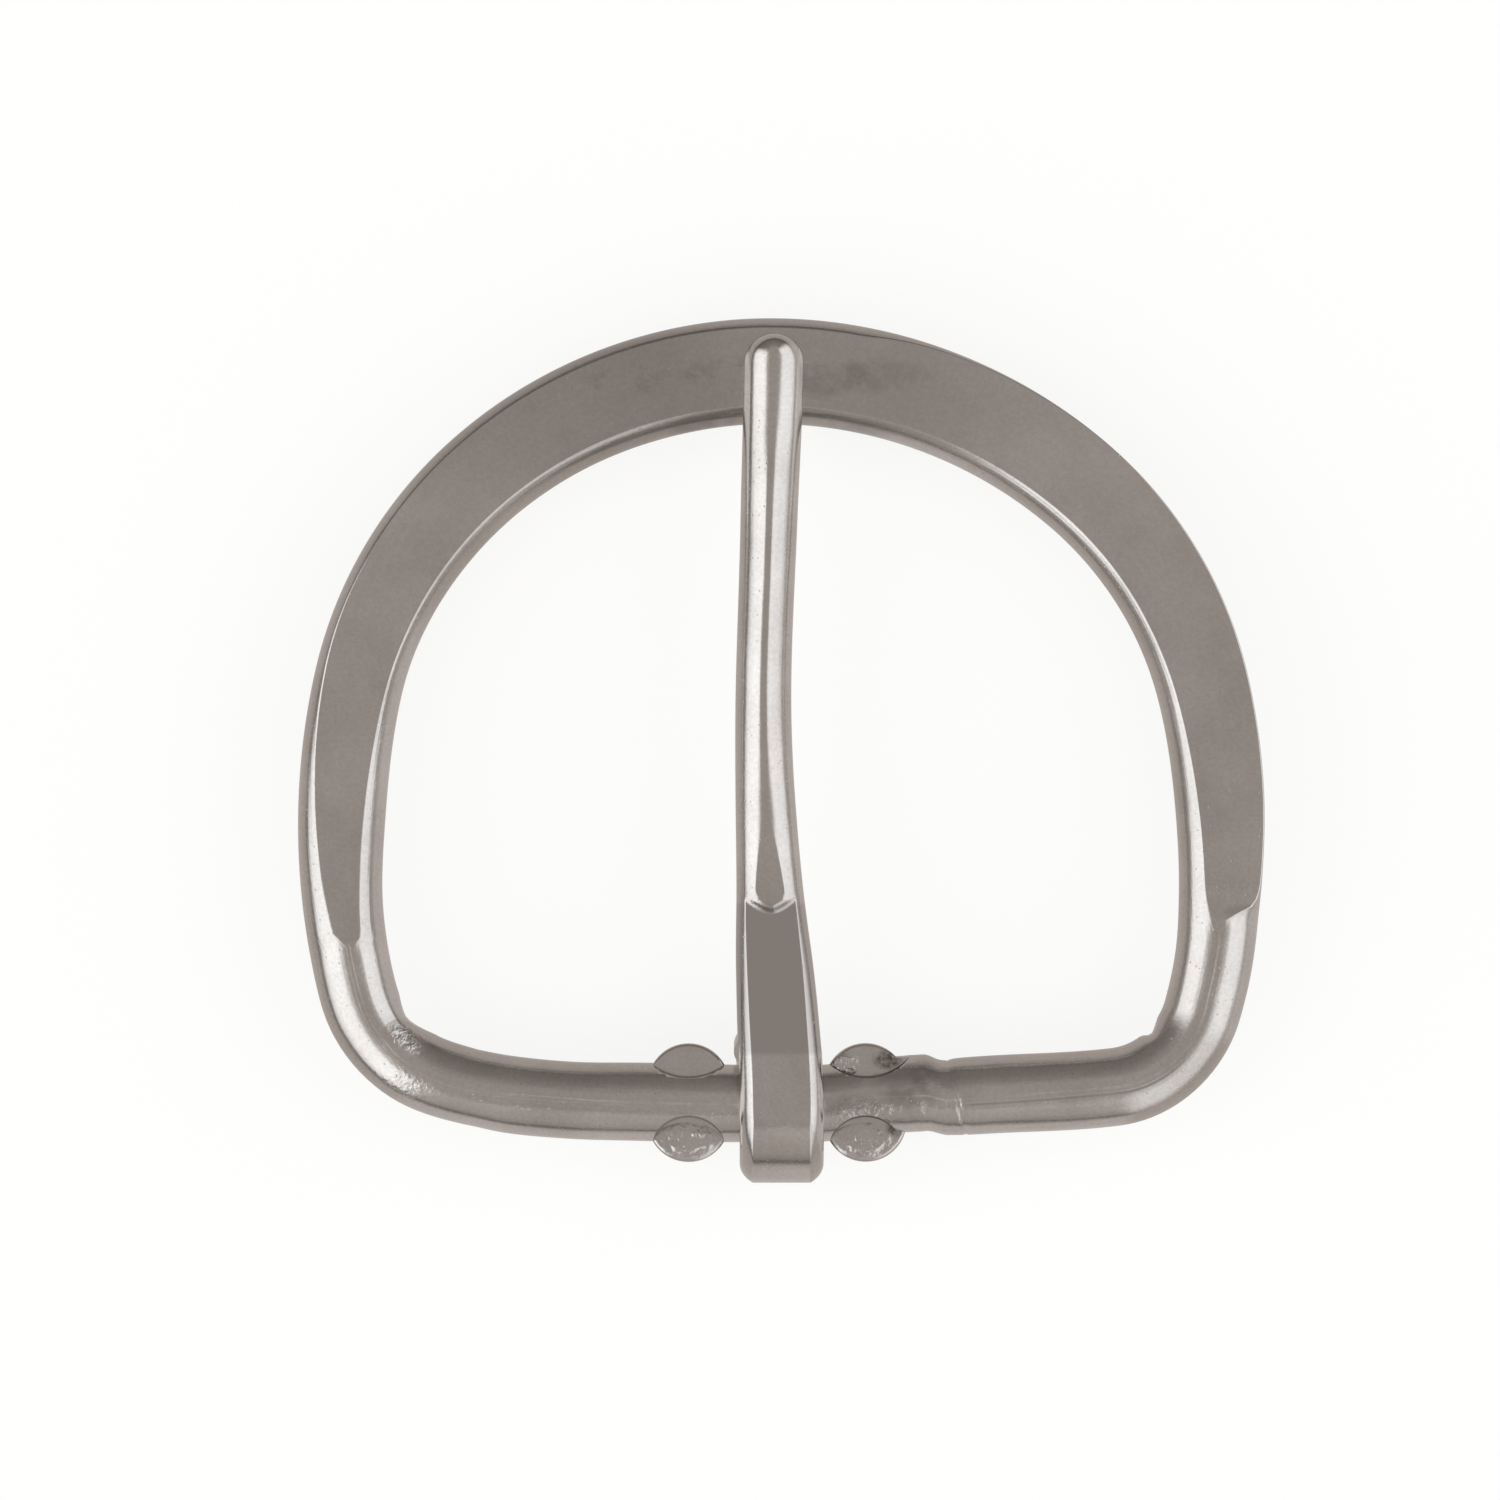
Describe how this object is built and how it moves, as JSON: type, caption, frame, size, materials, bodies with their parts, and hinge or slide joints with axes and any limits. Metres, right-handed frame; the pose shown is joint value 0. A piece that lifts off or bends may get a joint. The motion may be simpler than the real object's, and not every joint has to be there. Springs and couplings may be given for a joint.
{
  "type": "belt buckle",
  "caption": "D-shaped heel-bar belt buckle of forged round steel wire, with a wire tongue that turns on the straight bar between pinched ears.",
  "frame": {"origin": "centre of the bounding box at its base, where the back of the tongue's ring stands", "axes": "+Z out of the buckle's front face, +Y from the bar to the arch, +X along the bar to the right seen from the front"},
  "size_m": [0.0502, 0.0449, 0.0089],
  "materials": {
    "frame_steel": "forged, tumbled and polished, with fine die marks",
    "tongue_steel": "drawn wire, polished"
  },
  "bodies": {
    "frame": {"frame": "frame_steel"},
    "tongue": {"tongue": "tongue_steel"}
  },
  "joints": [
    {"name": "tongue_swing", "type": "hinge", "parent": "frame", "child": "tongue", "pos_m": [0, -0.0183, 0.0041], "axis": [1, 0, 0], "range_deg": [0, 178]}
  ]
}
